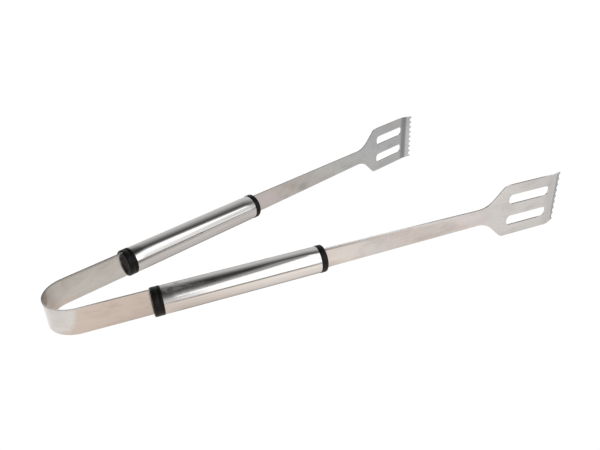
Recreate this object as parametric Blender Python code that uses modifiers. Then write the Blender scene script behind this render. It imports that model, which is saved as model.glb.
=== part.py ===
"""Spring loaded barbecue tongs: one bow spring, two tube handles, two slotted heads.

The tongs lie on their side with the long axis along X.  The bow spring is at the -X
end and the heads are at the +X end.  The arm on the -Y side is called near and the
one on the +Y side far.  Each arm is described in its own coordinates: s runs along
the arm from the end of the bow's arc, n points outwards across the strip, and the
third axis is world Z, along the width of the strip.  n is zero on the handle tube's
axis.  All sizes are in metres.
"""
import math

import bmesh
import bpy
from mathutils import Matrix, Vector

MM = 0.001
GAP = 0.3 * MM                      # clearance kept wherever two pieces meet

# --- the spread of the arms ---------------------------------------------------
HALF_ANGLE = math.radians(10.7)     # each arm's angle to the middle plane, at rest
BOW_RADIUS = 20.4 * MM              # bow arc, to the middle of the strip

# --- sheet metal ---------------------------------------------------------------
STRIP_THICK = 1.2 * MM
BOW_WIDTH = 20.0 * MM
TANG_WIDTH = 15.0 * MM
TANG_TAPER = 0.3 * MM               # how much lower each side is at the tang's end
TANG_CORNER = 2.0 * MM
TANG_OFFSET = (STRIP_THICK + GAP) / 2        # bow tang at -n, blade tang at +n

# --- stations along an arm -------------------------------------------------------
REAR_CROWN = 45.6 * MM              # crown of the rear cap's rounded face
BOW_SHOULDER = 46.9 * MM            # where the bow narrows into its tang
TUBE_START = 52.8 * MM
TUBE_END = 166.6 * MM
FRONT_FACE = 171.7 * MM
BLADE_TANG_START = 61.0 * MM
BOW_TANG_END = 82.0 * MM
RIVET_STATIONS = (66.5 * MM, 76.5 * MM)

# --- handle tube and its end caps ----------------------------------------------
TUBE_OUTER = 10.0 * MM              # radii
TUBE_WALL = 0.8 * MM
CAP_RADIUS = 10.25 * MM
CAP_EDGE = 1.6 * MM                 # rounding of a cap's outer edge
CAP_DOME = 0.9 * MM                 # how far the rear cap's face bulges
DOME_RING = 0.55                    # where the dome's middle ring is, as a share of its radius
PRONG_LENGTH = 7.0 * MM

# --- rivets ------------------------------------------------------------------------
RIVET_RADIUS = 2.0 * MM
RIVET_HEAD_RADIUS = 3.4 * MM
RIVET_HEAD_HEIGHT = 1.3 * MM

# --- blade and head ----------------------------------------------------------------
BLADE_WIDTH = 16.8 * MM             # at the front cap
TANG_WIDENS = 105.0 * MM            # stations where the hidden part of the blade widens
BLADE_WIDEST = 172.0 * MM
NECK_WIDTH = 14.2 * MM              # narrowest, just before the head
NECK_STATION = 308.0 * MM
NECK_FILLET = 20.0 * MM             # inner curve from the neck to the 45 degree flank
SHOULDER_ROUND = 7.0 * MM           # outer curve from the flank to the head's side
HEAD_BEND = 378.8 * MM              # where the lip starts to turn in
HEAD_WIDTH = 46.8 * MM
LIP_LENGTH = 12.5 * MM              # along the sheet, to the tips of the teeth
LIP_ANGLE = math.radians(22.0)
LIP_TAPER = 0.9 * MM                # how much each side of the lip draws in
LIP_BEND_RADIUS = 15.0 * MM         # inner radius of the bend
LIP_BENDS = 8                       # flat strips that the bend is made of
TEETH = 9
TOOTH_PITCH = 5.4 * MM
TOOTH_DEPTH = 2.0 * MM              # of the rounded notches between the teeth
NOTCH_WIDTH = 4.0 * MM
LIP_CORNER = 0.8 * MM               # cut off the lip's two corners
SLOT_START = 337.3 * MM
SLOT_LENGTH = 40.2 * MM
SLOT_WIDTH = 8.5 * MM
SLOT_CORNER = 3.5 * MM
SLOT_OFFSET = 9.7 * MM              # each slot's middle line, from the head's

# --- cutters ------------------------------------------------------------------------
CUTTER_DEPTH = 6.0 * MM             # across the sheet that is cut
CUTTER_REACH = 2.0 * MM             # beyond what is cut

# --- flexing ------------------------------------------------------------------------
FLEX_PIVOT = (2.0 * MM, 19.0 * MM)  # each arm's flexing centre, from the bow's centre

HALF_THICK = STRIP_THICK / 2
HEAD_HALF = HEAD_WIDTH / 2
NECK_HALF = NECK_WIDTH / 2
LIP_TIP = HEAD_BEND + LIP_LENGTH
BEND_MIDDLE = LIP_BEND_RADIUS + HALF_THICK   # bend radius of the strip's middle
HALF_ARC = BOW_RADIUS * (math.pi / 2 - HALF_ANGLE)
TUBE_AXIS = BOW_RADIUS + TANG_OFFSET         # from the bow's centre to n = 0
TUBE_INNER = TUBE_OUTER - TUBE_WALL


# --- frame: the origin is below the middle of the whole object's box ------------------
def arm_axes(side):
    """Unit vectors along s and n for the arm on this side: -1 near, +1 far."""
    along = Vector((math.cos(HALF_ANGLE), side * math.sin(HALF_ANGLE), 0))
    outward = Vector((-math.sin(HALF_ANGLE), side * math.cos(HALF_ANGLE), 0))
    return along, outward


def bent_lip(s, n):
    """Where a point of the flat blade goes once the lip is bent inwards."""
    run = s - HEAD_BEND
    if run <= 0:
        return s, n
    turn = min(run / BEND_MIDDLE, LIP_ANGLE)
    straight = run - turn * BEND_MIDDLE
    radius = BEND_MIDDLE + n - TANG_OFFSET
    new_s = HEAD_BEND + radius * math.sin(turn) + straight * math.cos(turn)
    new_n = TANG_OFFSET - BEND_MIDDLE + radius * math.cos(turn) - straight * math.sin(turn)
    return new_s, new_n


def tip_reach():
    """X of the outermost edge of the lip's teeth, measured from the bow's centre."""
    s, n = bent_lip(LIP_TIP, TANG_OFFSET + HALF_THICK)
    return s * math.cos(HALF_ANGLE) - (TUBE_AXIS + n) * math.sin(HALF_ANGLE)


BOW_CENTRE = Vector(((BOW_RADIUS + HALF_THICK - tip_reach()) / 2, 0, HEAD_HALF))


def arm_matrix(side):
    """Arm coordinates (s, n, z) to the world; z is zero on the strip's middle line."""
    along, outward = arm_axes(side)
    place = BOW_CENTRE + TUBE_AXIS * outward
    columns = (along, outward, Vector((0, 0, 1)), place)
    matrix = Matrix.Identity(4)
    for column, vector in enumerate(columns):
        matrix.col[column][:3] = vector
    return matrix


# --- scene and materials ---------------------------------------------------------------
def clear_scene():
    for item in list(bpy.data.objects):
        bpy.data.objects.remove(item, do_unlink=True)


def new_collection(name):
    group = bpy.data.collections.new(name)
    bpy.context.scene.collection.children.link(group)
    return group


def material(name, colour, roughness, metallic):
    made = bpy.data.materials.new(name)
    made.use_nodes = True
    surface = made.node_tree.nodes["Principled BSDF"]
    surface.inputs["Base Color"].default_value = (*colour, 1)
    surface.inputs["Roughness"].default_value = roughness
    surface.inputs["Metallic"].default_value = metallic
    return made


def satin_steel(name):
    return material(name, (0.62, 0.59, 0.57), 0.34, 1.0)


def polished_steel(name):
    return material(name, (0.75, 0.75, 0.75), 0.12, 1.0)


def black_plastic(name):
    return material(name, (0.02, 0.02, 0.02), 0.45, 0.0)


# --- mesh helpers -----------------------------------------------------------------------
def link_mesh(name, mesh, group):
    made = bpy.data.objects.new(name, mesh)
    group.objects.link(made)
    return made


def cleaned(mesh):
    """Weld a mesh's doubled corners and turn all of its faces outwards."""
    shape = bmesh.new()
    shape.from_mesh(mesh)
    bmesh.ops.remove_doubles(shape, verts=shape.verts, dist=1e-6)
    bmesh.ops.recalc_face_normals(shape, faces=shape.faces)
    shape.to_mesh(mesh)
    shape.free()
    return mesh


def settled(piece):
    """Apply a piece's modifiers, so that its mesh can be cut, bent or placed."""
    graph = bpy.context.evaluated_depsgraph_get()
    graph.update()
    mesh = bpy.data.meshes.new_from_object(piece.evaluated_get(graph))
    piece.modifiers.clear()
    piece.data = cleaned(mesh)
    return piece


def placed(piece, matrix, finish):
    """Move a piece's mesh from its own coordinates to the world, and finish it."""
    piece.data.transform(matrix)
    piece.data = cleaned(piece.data)
    piece.data.materials.clear()
    piece.data.materials.append(finish)
    piece.data.shade_smooth()
    piece.data.set_sharp_from_angle(angle=math.radians(30))
    return piece


def hang_on(piece, pivot):
    """Parent a piece to the empty on its joint's axis, with its origin there."""
    piece.data.transform(Matrix.Translation(-pivot.location))
    piece.parent = pivot
    return piece


def outline_sheet(name, outline, thickness, middle, group):
    """A flat sheet in the s-z plane, centred on n = middle, from a closed outline."""
    curve = bpy.data.curves.new(name, "CURVE")
    curve.dimensions = "2D"
    curve.fill_mode = "BOTH"
    curve.extrude = thickness / 2
    spline = curve.splines.new("POLY")
    spline.points.add(len(outline) - 1)
    for point, (s, z) in zip(spline.points, outline):
        point.co = (s, z, 0, 1)
    spline.use_cyclic_u = True
    drawn = bpy.data.objects.new(name, curve)
    group.objects.link(drawn)
    graph = bpy.context.evaluated_depsgraph_get()
    mesh = bpy.data.meshes.new_from_object(drawn.evaluated_get(graph))
    bpy.data.objects.remove(drawn, do_unlink=True)
    bpy.data.curves.remove(curve)
    upright = Matrix.Translation((0, middle, 0)) @ Matrix.Rotation(math.pi / 2, 4, "X")
    mesh.transform(upright)
    return link_mesh(name, cleaned(mesh), group)


def turned(name, profile, steps, group):
    """A solid of revolution about the s axis, from (s, radius) points."""
    shape = bmesh.new()
    corners = [shape.verts.new((s, 0, radius)) for s, radius in profile]
    for first, second in zip(corners, corners[1:]):
        shape.edges.new((first, second))
    mesh = bpy.data.meshes.new(name)
    shape.to_mesh(mesh)
    shape.free()
    made = link_mesh(name, mesh, group)
    screw = made.modifiers.new("turn", "SCREW")
    screw.axis = "X"
    screw.steps = steps
    screw.render_steps = steps
    screw.use_merge_vertices = True
    screw.merge_threshold = 1e-5
    return settled(made)


def box(name, low, high, group):
    shape = bmesh.new()
    bmesh.ops.create_cube(shape, size=1)
    size = Vector(high) - Vector(low)
    middle = (Vector(high) + Vector(low)) / 2
    bmesh.ops.scale(shape, vec=size, verts=shape.verts)
    bmesh.ops.translate(shape, vec=middle, verts=shape.verts)
    mesh = bpy.data.meshes.new(name)
    shape.to_mesh(mesh)
    shape.free()
    return link_mesh(name, mesh, group)


def peg(name, radius, station, sides, group):
    """A long cylinder across the strip at a station along the arm, to cut a hole."""
    shape = bmesh.new()
    across = Matrix.Rotation(math.pi / 2, 4, "X")
    place = Matrix.Translation((station, 0, 0))
    bmesh.ops.create_cone(shape, cap_ends=True, segments=sides, radius1=radius,
                          radius2=radius, depth=CUTTER_DEPTH, matrix=place @ across)
    mesh = bpy.data.meshes.new(name)
    shape.to_mesh(mesh)
    shape.free()
    return link_mesh(name, mesh, group)


def cut(piece, cutters):
    """Take the cutters' shapes out of a piece."""
    for cutter in cutters:
        cutter.hide_render = True
        cutter.display_type = "WIRE"
        boolean = piece.modifiers.new("cut", "BOOLEAN")
        boolean.operation = "DIFFERENCE"
        boolean.solver = "EXACT"
        boolean.object = cutter
    return settled(piece)


def arc(centre, radius, start, end, steps):
    """Points on an arc, angles in degrees, both ends included."""
    turns = [math.radians(start + (end - start) * i / steps) for i in range(steps + 1)]
    return [(centre[0] + radius * math.cos(t), centre[1] + radius * math.sin(t)) for t in turns]


def with_mirror(upper):
    """An upper outline run from left to right, closed by its mirror in z = 0."""
    return upper + [(s, -z) for s, z in reversed(upper)]


def bend_lines(piece, stations):
    """Cut edge lines across a flat sheet at these stations, so that it can bend there."""
    shape = bmesh.new()
    shape.from_mesh(piece.data)
    for station in stations:
        everything = shape.verts[:] + shape.edges[:] + shape.faces[:]
        bmesh.ops.bisect_plane(shape, geom=everything, dist=1e-7,
                               plane_co=(station, 0, 0), plane_no=(1, 0, 0))
    shape.to_mesh(piece.data)
    shape.free()


# --- sub-parts, in arm coordinates unless they say otherwise --------------------------
def bow_point(run, n):
    """A point of the flat bow blank, run along it from the crown, on the bent bow."""
    side = 1 if run >= 0 else -1
    length = abs(run)
    if length <= HALF_ARC:
        turn = length / BOW_RADIUS
        radius = BOW_RADIUS + n
        return Vector((-radius * math.cos(turn), side * radius * math.sin(turn), 0))
    along, outward = arm_axes(side)
    return (BOW_RADIUS + n) * outward + (length - HALF_ARC) * along


def make_bow_spring(group, cutter_group):
    """One strip, bent round at the crown, with a narrow tang at each end."""
    end = HALF_ARC + BOW_TANG_END
    shoulder = HALF_ARC + BOW_SHOULDER
    end_half = TANG_WIDTH / 2 - TANG_TAPER
    right = [(shoulder, BOW_WIDTH / 2), (shoulder, TANG_WIDTH / 2)]
    right += arc((end - TANG_CORNER, end_half - TANG_CORNER), TANG_CORNER, 90, 0, 4)
    left = [(-run, z) for run, z in reversed(right)]
    bow = outline_sheet("bow_spring", with_mirror(left + right), STRIP_THICK, 0, group)
    holes = []
    for sign in (-1, 1):
        for number, station in enumerate(RIVET_STATIONS):
            name = f"bow_hole_{sign}_{number}"
            run = sign * (HALF_ARC + station)
            holes.append(peg(name, RIVET_RADIUS + GAP, run, 16, cutter_group))
    cut(bow, holes)
    bends = 32
    bend_lines(bow, [HALF_ARC * (2 * i / bends - 1) for i in range(bends + 1)])
    for vertex in bow.data.vertices:
        run, n, z = vertex.co
        vertex.co = bow_point(run, n) + Vector((0, 0, z))
    return placed(bow, Matrix.Translation(BOW_CENTRE), satin_steel("bow_steel"))


def blade_outline():
    """The flat blade: tang, tapering shaft, flared neck, head and toothed edge."""
    end_half = TANG_WIDTH / 2 - TANG_TAPER
    end_middle = (BLADE_TANG_START + TANG_CORNER, end_half - TANG_CORNER)
    diagonal = math.sqrt(0.5)
    flank_start = NECK_STATION + NECK_FILLET * diagonal
    flank_rise = HEAD_HALF - NECK_HALF - (NECK_FILLET + SHOULDER_ROUND) * (1 - diagonal)
    shoulder = flank_start + flank_rise + SHOULDER_ROUND * diagonal
    side = arc(end_middle, TANG_CORNER, 180, 90, 4)
    side += [(TANG_WIDENS, TANG_WIDTH / 2), (BLADE_WIDEST, BLADE_WIDTH / 2)]
    side += arc((NECK_STATION, NECK_HALF + NECK_FILLET), NECK_FILLET, -90, -45, 8)
    side += arc((shoulder, HEAD_HALF - SHOULDER_ROUND), SHOULDER_ROUND, 135, 90, 5)
    side += [(HEAD_BEND, HEAD_HALF), (LIP_TIP - LIP_CORNER, HEAD_HALF - LIP_TAPER)]
    return side + toothed_edge() + [(s, -z) for s, z in reversed(side)]


def toothed_edge():
    """The lip's end, from its corner at +z to the one at -z: teeth between round notches."""
    corner = (TEETH - 1) / 2 * TOOTH_PITCH + (TOOTH_PITCH - NOTCH_WIDTH) / 2
    edge = [(LIP_TIP, corner)]
    for number in range(TEETH - 1):
        middle = ((TEETH - 2) / 2 - number) * TOOTH_PITCH
        for turn in (0, 40, 90, 140, 180):
            across = math.cos(math.radians(turn)) * NOTCH_WIDTH / 2
            depth = math.sin(math.radians(turn)) * TOOTH_DEPTH
            edge.append((LIP_TIP - depth, middle + across))
    return edge + [(LIP_TIP, -corner)]


def slot_outline(middle):
    """A head slot with rounded corners, its middle line at z = middle."""
    right = SLOT_START + SLOT_LENGTH - SLOT_CORNER
    left = SLOT_START + SLOT_CORNER
    reach = SLOT_WIDTH / 2 - SLOT_CORNER
    outline = arc((right, middle + reach), SLOT_CORNER, 0, 90, 4)
    outline += arc((left, middle + reach), SLOT_CORNER, 90, 180, 4)
    outline += arc((left, middle - reach), SLOT_CORNER, 180, 270, 4)
    outline += arc((right, middle - reach), SLOT_CORNER, 270, 360, 4)
    return outline


def make_blade(name, matrix, group, cutter_group):
    """The stamped blade: slots and rivet holes cut while flat, then the lip bent in."""
    blade = outline_sheet(name, blade_outline(), STRIP_THICK, TANG_OFFSET, group)
    cutters = []
    for middle in (-SLOT_OFFSET, SLOT_OFFSET):
        slot_name = f"{name}_slot_{middle / MM:.0f}"
        cutters.append(outline_sheet(slot_name, slot_outline(middle), CUTTER_DEPTH, 0, cutter_group))
    for number, station in enumerate(RIVET_STATIONS):
        hole_name = f"{name}_hole_{number}"
        cutters.append(peg(hole_name, RIVET_RADIUS + GAP, station, 16, cutter_group))
    cut(blade, cutters)
    bent = BEND_MIDDLE * LIP_ANGLE
    bend_lines(blade, [HEAD_BEND + bent * i / LIP_BENDS for i in range(LIP_BENDS + 1)])
    for vertex in blade.data.vertices:
        vertex.co.x, vertex.co.y = bent_lip(vertex.co.x, vertex.co.y)
    return placed(blade, matrix, satin_steel(f"{name}_steel"))


def make_handle_tube(name, matrix, group):
    """A plain thin tube, open at both ends."""
    ring = [(TUBE_START, TUBE_INNER), (TUBE_START, TUBE_OUTER), (TUBE_END, TUBE_OUTER),
            (TUBE_END, TUBE_INNER), (TUBE_START, TUBE_INNER)]
    tube = turned(name, ring, 36, group)
    return placed(tube, matrix, polished_steel(f"{name}_steel"))


def strip_room(name, middle, width, start, end, group):
    """A cutter that leaves room for a strip of this width, its middle at n = middle."""
    half = HALF_THICK + GAP
    half_width = width / 2 + GAP
    low = (start, middle - half, -half_width)
    high = (end, middle + half, half_width)
    return box(name, low, high, group)


def make_rear_cap(name, matrix, group, cutter_group):
    """The plug at the bow end: a rounded flange, and a prong inside the tube."""
    flange_back = TUBE_START - GAP
    prong_radius = TUBE_INNER - GAP
    prong_end = flange_back + PRONG_LENGTH
    edge_start = REAR_CROWN + CAP_DOME
    face_radius = CAP_RADIUS - CAP_EDGE
    profile = [(REAR_CROWN, 0), (REAR_CROWN + CAP_DOME * DOME_RING ** 2, face_radius * DOME_RING)]
    profile += arc((edge_start + CAP_EDGE, face_radius), CAP_EDGE, 180, 90, 5)
    profile += [(flange_back, CAP_RADIUS), (flange_back, prong_radius)]
    profile += [(prong_end, prong_radius), (prong_end, 0)]
    cap = turned(name, profile, 36, group)
    outside = REAR_CROWN - CUTTER_REACH
    tang = strip_room(f"{name}_tang_room", -TANG_OFFSET, TANG_WIDTH, outside,
                      prong_end + CUTTER_REACH, cutter_group)
    strip = strip_room(f"{name}_strip_room", -TANG_OFFSET, BOW_WIDTH + 2 * CUTTER_REACH, outside,
                       BOW_SHOULDER + GAP, cutter_group)
    cut(cap, [tang, strip])
    return placed(cap, matrix, black_plastic(f"{name}_plastic"))


def make_front_cap(name, matrix, group, cutter_group):
    """The plug at the blade end: a rounded flange and two half-round prongs."""
    flange_back = TUBE_END + GAP
    prong_radius = TUBE_INNER - GAP
    prong_end = flange_back - PRONG_LENGTH
    face_radius = CAP_RADIUS - CAP_EDGE
    profile = [(prong_end, 0), (prong_end, prong_radius), (flange_back, prong_radius)]
    profile += [(flange_back, CAP_RADIUS)]
    profile += arc((FRONT_FACE - CAP_EDGE, face_radius), CAP_EDGE, 90, 0, 5)
    profile += [(FRONT_FACE, 0)]
    cap = turned(name, profile, 36, group)
    blade = strip_room(f"{name}_blade_room", TANG_OFFSET, BLADE_WIDTH,
                       prong_end - CUTTER_REACH, FRONT_FACE + CUTTER_REACH, cutter_group)
    split = strip_room(f"{name}_split", TANG_OFFSET, 3 * prong_radius,
                       prong_end - CUTTER_REACH, flange_back - GAP, cutter_group)
    cut(cap, [blade, split])
    return placed(cap, matrix, black_plastic(f"{name}_plastic"))


def make_rivet(name, station, matrix, group):
    """A two-headed rivet through both tangs, its axis across the strips."""
    grip = TANG_OFFSET + HALF_THICK + GAP
    top = grip + RIVET_HEAD_HEIGHT
    edge = 0.6 * MM
    upper = [(grip, RIVET_RADIUS), (grip, RIVET_HEAD_RADIUS), (top - edge, RIVET_HEAD_RADIUS)]
    upper += [(top, RIVET_HEAD_RADIUS - edge), (top, 0)]
    lower = [(-height, radius) for height, radius in reversed(upper)]
    rivet = turned(name, lower + upper, 20, group)
    across = Matrix.Translation((station, 0, 0)) @ Matrix.Rotation(math.pi / 2, 4, "Z")
    return placed(rivet, matrix @ across, satin_steel(f"{name}_steel"))


def make_arm(side, word, group, cutter_group):
    """Everything that moves with one arm, parented to the empty at its flexing centre."""
    matrix = arm_matrix(side)
    pivot = bpy.data.objects.new(f"{word}_arm_flex", None)
    pivot.location = BOW_CENTRE + Vector((FLEX_PIVOT[0], side * FLEX_PIVOT[1], 0))
    pivot.empty_display_size = 10 * MM
    group.objects.link(pivot)
    pieces = [make_blade(f"{word}_blade", matrix, group, cutter_group)]
    pieces += [make_handle_tube(f"{word}_handle_tube", matrix, group)]
    pieces += [make_rear_cap(f"{word}_rear_cap", matrix, group, cutter_group)]
    pieces += [make_front_cap(f"{word}_front_cap", matrix, group, cutter_group)]
    for place, station in zip(("rear", "front"), RIVET_STATIONS):
        pieces += [make_rivet(f"{word}_{place}_rivet", station, matrix, group)]
    for piece in pieces:
        hang_on(piece, pivot)


def main():
    clear_scene()
    tongs = new_collection("spring_tongs")
    cutters = new_collection("cutters")
    make_bow_spring(tongs, cutters)
    make_arm(-1, "near", tongs, cutters)
    make_arm(1, "far", tongs, cutters)


main()
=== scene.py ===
import math

import bmesh
import bpy
from mathutils import Matrix, Vector


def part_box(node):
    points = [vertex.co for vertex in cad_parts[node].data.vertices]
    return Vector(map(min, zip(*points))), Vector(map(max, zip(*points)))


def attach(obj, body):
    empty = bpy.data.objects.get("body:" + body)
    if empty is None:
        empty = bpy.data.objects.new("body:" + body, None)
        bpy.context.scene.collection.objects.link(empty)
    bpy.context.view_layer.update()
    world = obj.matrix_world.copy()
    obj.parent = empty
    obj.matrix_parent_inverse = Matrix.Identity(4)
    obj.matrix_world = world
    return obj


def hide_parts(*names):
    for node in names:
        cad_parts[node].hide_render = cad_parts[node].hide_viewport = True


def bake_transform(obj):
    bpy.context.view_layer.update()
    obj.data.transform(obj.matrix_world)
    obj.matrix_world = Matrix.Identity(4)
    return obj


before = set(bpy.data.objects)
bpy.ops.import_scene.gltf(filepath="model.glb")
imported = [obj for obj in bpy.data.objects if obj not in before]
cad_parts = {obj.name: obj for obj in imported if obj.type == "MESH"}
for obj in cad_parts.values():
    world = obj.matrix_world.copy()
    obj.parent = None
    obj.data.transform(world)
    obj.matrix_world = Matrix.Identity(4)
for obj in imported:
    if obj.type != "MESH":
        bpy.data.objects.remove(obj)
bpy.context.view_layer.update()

MM = 0.001

# --- measures, as in the CAD ------------------------------------------------------------------
# An arm has its own coordinates: s along it from the bow's centre, n outwards from its tube's axis, and z up.
HALF_ANGLE = math.radians(10.7)
BOW_RADIUS = 20.4 * MM
STRIP_THICK = 1.2 * MM
HALF_THICK = STRIP_THICK / 2
BOW_HALF = 10.0 * MM
TANG_HALF = 7.5 * MM
TANG_CORNER = 2.0 * MM
TANG_TAPER = 0.3 * MM
TANG_OFFSET = 0.75 * MM
BOW_SHOULDER = 46.9 * MM
BOW_TANG_END = 82.0 * MM
REAR_CROWN = 45.6 * MM
TUBE_START = 52.8 * MM
TUBE_END = 166.6 * MM
FRONT_FACE = 171.7 * MM
BLADE_TANG_START = 61.0 * MM
TUBE_OUTER = 10.0 * MM
TUBE_INNER = 9.2 * MM
CAP_RADIUS = 10.25 * MM
PRONG_RADIUS = 9.1 * MM
PRONG_LENGTH = 7.0 * MM
BLADE_HALF = 8.4 * MM
TANG_WIDENS = 105.0 * MM
BLADE_WIDEST = 172.0 * MM
NECK_HALF = 7.1 * MM
NECK_STATION = 308.0 * MM
NECK_FILLET = 20.0 * MM
SHOULDER_ROUND = 7.0 * MM
HEAD_BEND = 378.8 * MM
HEAD_HALF = 23.4 * MM
LIP_TIP = HEAD_BEND + 12.5 * MM
LIP_ANGLE = math.radians(22.0)
LIP_TAPER = 0.9 * MM
BEND_MIDDLE = 15.0 * MM + HALF_THICK
TEETH = 9
TOOTH_PITCH = 5.4 * MM
TOOTH_DEPTH = 2.0 * MM
NOTCH_WIDTH = 4.2 * MM
LIP_CORNER = 0.8 * MM
SLOT_START = 337.3 * MM
SLOT_LENGTH = 40.2 * MM
SLOT_WIDTH = 8.5 * MM
SLOT_CORNER = 3.5 * MM
SLOT_OFFSET = 9.7 * MM
RIVET_STATIONS = (66.5 * MM, 76.5 * MM)
RIVET_HOLE = 2.1 * MM
EDGE_ROUND = 0.16 * MM              # rounding of the sheet's cut edges
GAP = 0.15 * MM                     # clearance between pieces that touch

HALF_ARC = BOW_RADIUS * (math.pi / 2 - HALF_ANGLE)
TUBE_AXIS = BOW_RADIUS + TANG_OFFSET
bow_low, bow_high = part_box("bow_spring")
BOW_CENTRE = Vector((bow_low[0] + BOW_RADIUS + HALF_THICK, 0, (bow_low[2] + bow_high[2]) / 2))
SIDES = {"near": -1, "far": 1}

# --- steps of the rounded shapes --------------------------------------------------------------
CROWN_STEPS = 72
LEG_STEPS = 12
LIP_BENDS = 16
TUBE_STEPS = 128
CAP_STEPS = 96
SHARP_ANGLE = 35                    # degrees; edges sharper than this stay sharp
# A face takes the edge's material if its normal's part along n is under the limit on a blade,
# or if its part along z is over the limit on the bow.
NEAR_EDGE_LIMIT = 0.93
FAR_EDGE_LIMIT = 0.6
BOW_EDGE_LIMIT = 0.5

# --- colours ----------------------------------------------------------------------------------
def rgb(red, green, blue):
    """An opaque colour."""
    return (red, green, blue, 1.0)


STEEL = rgb(0.53, 0.50, 0.475)
STAIN = rgb(0.475, 0.43, 0.405)
SPOT = rgb(0.30, 0.275, 0.27)
INNER_SHADE = rgb(0.30, 0.27, 0.25)
DIM = rgb(0.975, 0.975, 0.975)
BRIGHT = rgb(1.025, 1.025, 1.025)
SATIN_ROUGHNESS = 0.16


def arm_axes(side):
    """The directions of s and n."""
    along = Vector((math.cos(HALF_ANGLE), side * math.sin(HALF_ANGLE), 0))
    outward = Vector((-math.sin(HALF_ANGLE), side * math.cos(HALF_ANGLE), 0))
    return along, outward


def arm_matrix(side):
    """Arm coordinates (s, n, z) to the shared frame."""
    along, outward = arm_axes(side)
    matrix = Matrix.Identity(4)
    for column, vector in enumerate((along, outward, Vector((0, 0, 1)), BOW_CENTRE + TUBE_AXIS * outward)):
        matrix.col[column][:3] = vector
    return matrix


# --- material building ------------------------------------------------------------------------
class Nodes:
    """A node tree, and short ways to add nodes to it."""

    def __init__(self, tree):
        self.tree = tree

    def feed(self, socket, value):
        """Link another node's output to a socket, or set the socket's own value."""
        if isinstance(value, bpy.types.NodeSocket):
            self.tree.links.new(value, socket)
        else:
            socket.default_value = value

    def add(self, kind, inputs=(), **settings):
        """A node of this kind, with its inputs fed and its settings made."""
        made = self.tree.nodes.new(kind)
        for key, value in settings.items():
            setattr(made, key, value)
        for key, value in dict(inputs).items():
            self.feed(made.inputs[key], value)
        return made

    def noise(self, where, stretch, detail=3.0, roughness=0.5, distortion=0.0):
        """Noise at a point, with its frequency given for each axis."""
        scaled = self.vector("MULTIPLY", where, stretch).outputs[0]
        made = self.add("ShaderNodeTexNoise", {
            "Vector": scaled, "Scale": 1.0, "Detail": detail,
            "Roughness": roughness, "Distortion": distortion})
        return made.outputs["Fac"]

    def spread(self, value, low, high, to_low=0.0, to_high=1.0):
        """Map a value from low ... high to to_low ... to_high, and clamp it there."""
        made = self.add("ShaderNodeMapRange", {
            "Value": value, "From Min": low, "From Max": high, "To Min": to_low, "To Max": to_high})
        return made.outputs["Result"]

    def blend(self, factor, first, second, mode="MIX"):
        """Mix two colours."""
        made = self.add("ShaderNodeMix", data_type="RGBA", blend_type=mode)
        self.feed(made.inputs[0], factor)
        self.feed(made.inputs[6], first)
        self.feed(made.inputs[7], second)
        return made.outputs[2]

    def sums(self, first, second, operation="ADD"):
        """One step of arithmetic on two numbers."""
        return self.add("ShaderNodeMath", {0: first, 1: second}, operation=operation).outputs[0]

    def vector(self, operation, first, second=None):
        """One step of vector arithmetic."""
        inputs = {0: first} if second is None else {0: first, 1: second}
        return self.add("ShaderNodeVectorMath", inputs, operation=operation)

    def ramp(self, value, stops, low=0.0, high=1.0):
        """A colour that follows a value from low to high: (value, colour or grey) stops."""
        made = self.add("ShaderNodeValToRGB", {0: value})
        elements = made.color_ramp.elements
        while len(elements) < len(stops):
            elements.new(0.5)
        for element, (at, colour) in zip(elements, stops):
            element.position = (at - low) / (high - low)
        for element, (at, colour) in zip(elements, stops):
            element.color = colour if isinstance(colour, tuple) else rgb(colour, colour, colour)
        return made.outputs[0]

    def tone_along(self, value, stops):
        """A colour that follows a value of any size, from its first stop to its last."""
        low, high = stops[0][0], stops[-1][0]
        return self.ramp(self.spread(value, low, high), stops, low, high)

    def bump(self, height, strength, distance, normal=None):
        """A normal bent by a height, on top of another bump's normal if there is one."""
        inputs = {"Height": height, "Strength": strength, "Distance": distance}
        if normal is not None:
            inputs["Normal"] = normal
        return self.add("ShaderNodeBump", inputs).outputs["Normal"]


class Shader(Nodes):
    """The nodes of a principled material."""

    def __init__(self, name, **constants):
        self.material = bpy.data.materials.new(name)
        self.material.use_nodes = True
        super().__init__(self.material.node_tree)
        self.surface = self.tree.nodes["Principled BSDF"]
        for key, value in constants.items():
            self.surface.inputs[key.replace("_", " ")].default_value = value

    def place(self):
        """The point on the part before it was bent and placed, in millimetres."""
        return self.add("ShaderNodeAttribute", attribute_name="place").outputs["Vector"]

    def finish(self, colour, roughness=None, normal=None):
        """Feed the surface, and hand back the material."""
        for key, value in (("Base Color", colour), ("Roughness", roughness), ("Normal", normal)):
            if value is not None:
                self.feed(self.surface.inputs[key], value)
        return self.material


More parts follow.
